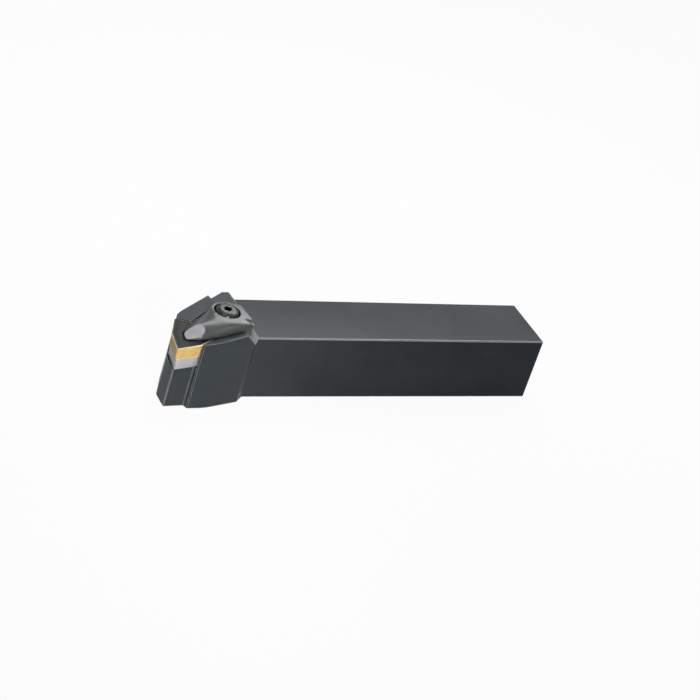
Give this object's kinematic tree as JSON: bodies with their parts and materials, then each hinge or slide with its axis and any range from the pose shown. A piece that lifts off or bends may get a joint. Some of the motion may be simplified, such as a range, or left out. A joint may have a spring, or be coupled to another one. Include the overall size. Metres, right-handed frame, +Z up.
{
  "type": "turning tool holder",
  "caption": "Right-hand external turning tool holder with a square shank and a lever-clamped trigon insert on a shim.",
  "frame": {"origin": "centre line of the square shank at its base, 60 mm from the tail end", "axes": "+X along the shank to its tail end, -Y to the cutting side, +Z up from the shank's base"},
  "size_m": [0.1501, 0.032, 0.0329],
  "materials": {
    "body_steel": "black oxide",
    "clamp_steel": "satin dark",
    "coated_carbide": "coated, dark top face and golden flanks",
    "ground_carbide": "ground",
    "screw_steel": "satin",
    "spring_steel": "drawn wire"
  },
  "bodies": {
    "holder": {"holder_body": "body_steel", "shim": "ground_carbide", "shim_screw": "screw_steel", "insert": "coated_carbide", "clamp_spring": "spring_steel"},
    "clamp": {"clamp": "clamp_steel"},
    "clamp_screw": {"clamp_screw": "screw_steel"}
  },
  "joints": [
    {"name": "clamp_lift", "type": "slide", "parent": "holder", "child": "clamp", "axis": [0, 0, 1], "range_m": [0, 0.003], "deforming": ["clamp_spring"]},
    {"name": "clamp_screw_turn", "type": "hinge", "parent": "clamp", "child": "clamp_screw", "pos_m": [-0.0685, -0.0061, 0.0296], "axis": [0, 0, 1], "range_deg": [0, 1350]}
  ],
  "couplings": [
    {"joint": "clamp_screw_turn", "follows": "clamp_lift", "rad_per_m": 7853.9}
  ]
}
